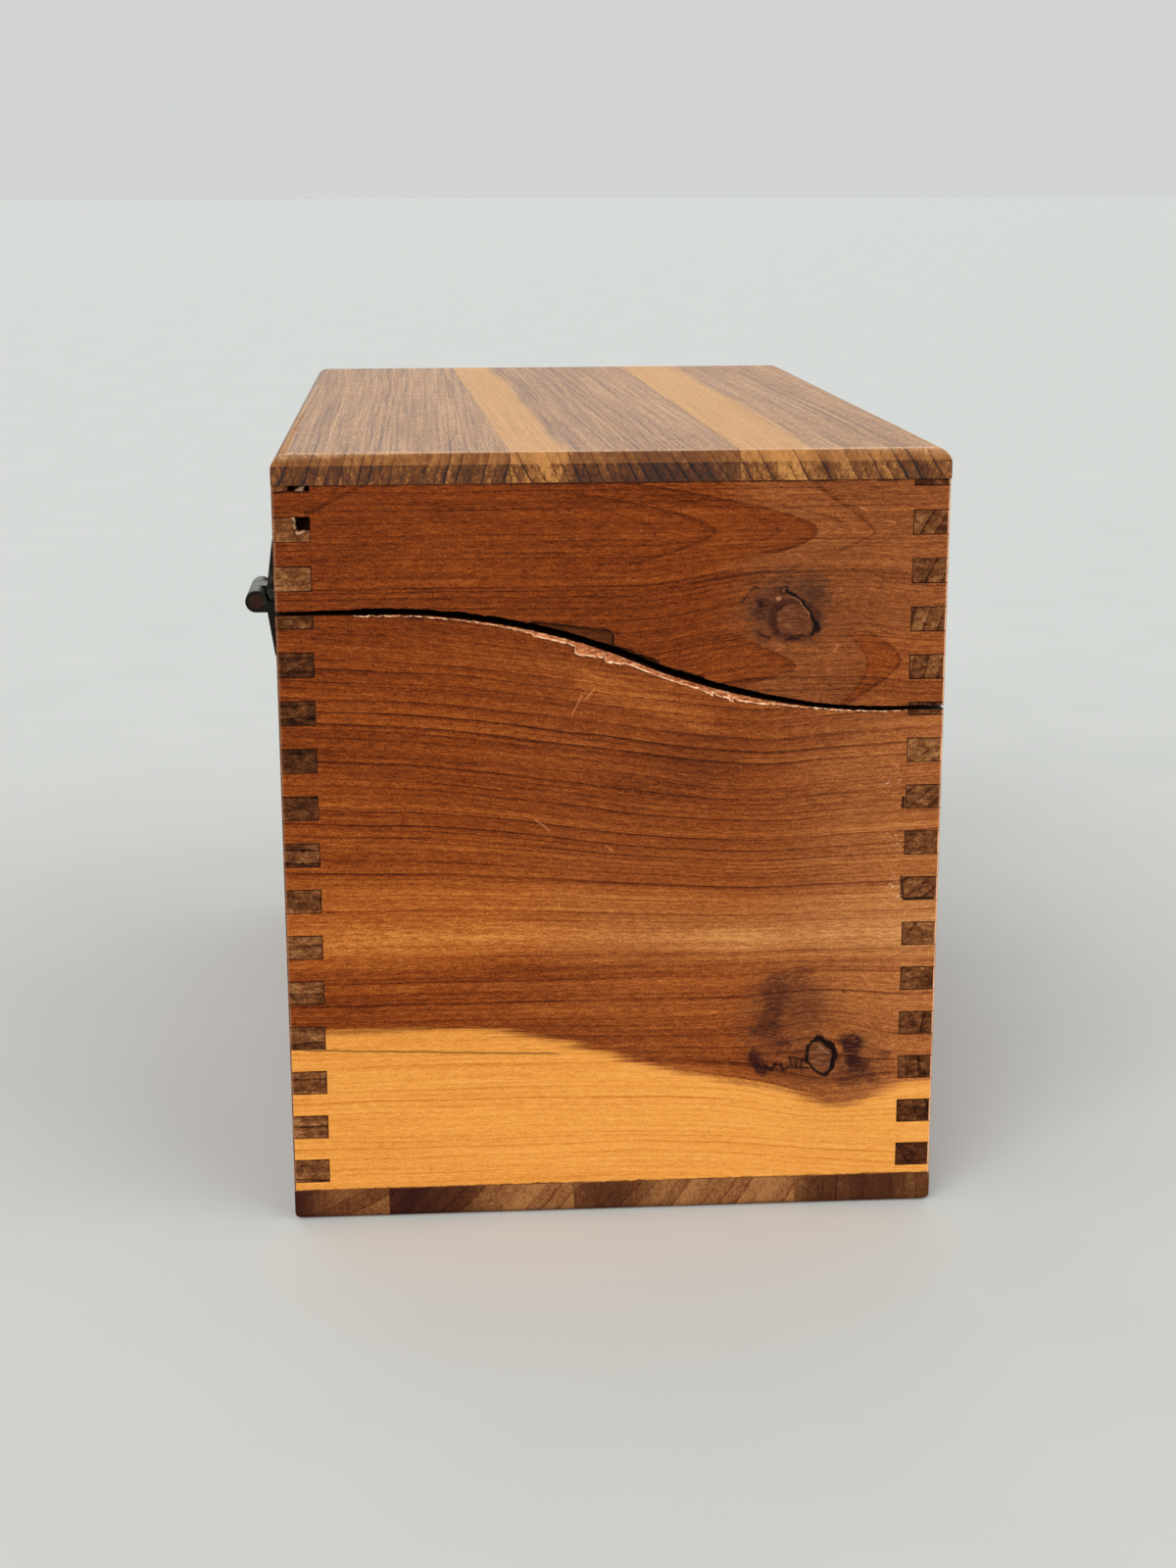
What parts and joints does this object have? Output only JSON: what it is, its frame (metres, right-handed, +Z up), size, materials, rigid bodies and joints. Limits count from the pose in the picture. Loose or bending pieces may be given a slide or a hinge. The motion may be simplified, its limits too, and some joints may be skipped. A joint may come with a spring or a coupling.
{
  "type": "recipe box",
  "caption": "Finger-jointed wooden recipe box for index cards, its lid parted from the body along an ogee saw cut and hung on small pinned hinges at the back.",
  "frame": {"origin": "on the table under the middle of the boards' footprint; the hinge barrels stand out past the back face", "axes": "+X along the length, away from the end that the picture shows, +Y towards the hinges at the back, +Z up"},
  "size_m": [0.1524, 0.0918, 0.104],
  "materials": {
    "cedar_ends": "worn oil finish, reddish heartwood with pale sapwood",
    "cedar_sides": "worn oil finish, reddish heartwood",
    "cedar_top": "worn oil finish, glued-up staves with pale sapwood streaks",
    "cedar_bottom": "worn oil finish, glued-up staves of mixed purple-brown and tan",
    "hinge_metal": "blackened with age",
    "pin_metal": "rust-browned",
    "nail_metal": "dull with age"
  },
  "bodies": {
    "box": {"body_left_end": "cedar_ends", "body_right_end": "cedar_ends", "body_front": "cedar_sides", "body_back": "cedar_sides", "bottom_stave_1": "cedar_bottom", "bottom_stave_2": "cedar_bottom", "bottom_stave_3": "cedar_bottom", "bottom_stave_4": "cedar_bottom", "left_body_leaf": "hinge_metal", "left_hinge_pin": "pin_metal", "right_body_leaf": "hinge_metal", "right_hinge_pin": "pin_metal", "body_nails": "nail_metal"},
    "lid": {"lid_left_end": "cedar_ends", "lid_right_end": "cedar_ends", "lid_front": "cedar_sides", "lid_back": "cedar_sides", "top_stave_1": "cedar_top", "top_stave_2": "cedar_top", "top_stave_3": "cedar_top", "left_lid_leaf": "hinge_metal", "right_lid_leaf": "hinge_metal", "lid_nails": "nail_metal"}
  },
  "joints": [
    {"name": "lid_hinge", "type": "hinge", "parent": "box", "child": "lid", "pos_m": [0, 0.04665, 0.08365], "axis": [-1, 0, 0], "range_deg": [0, 195]}
  ]
}
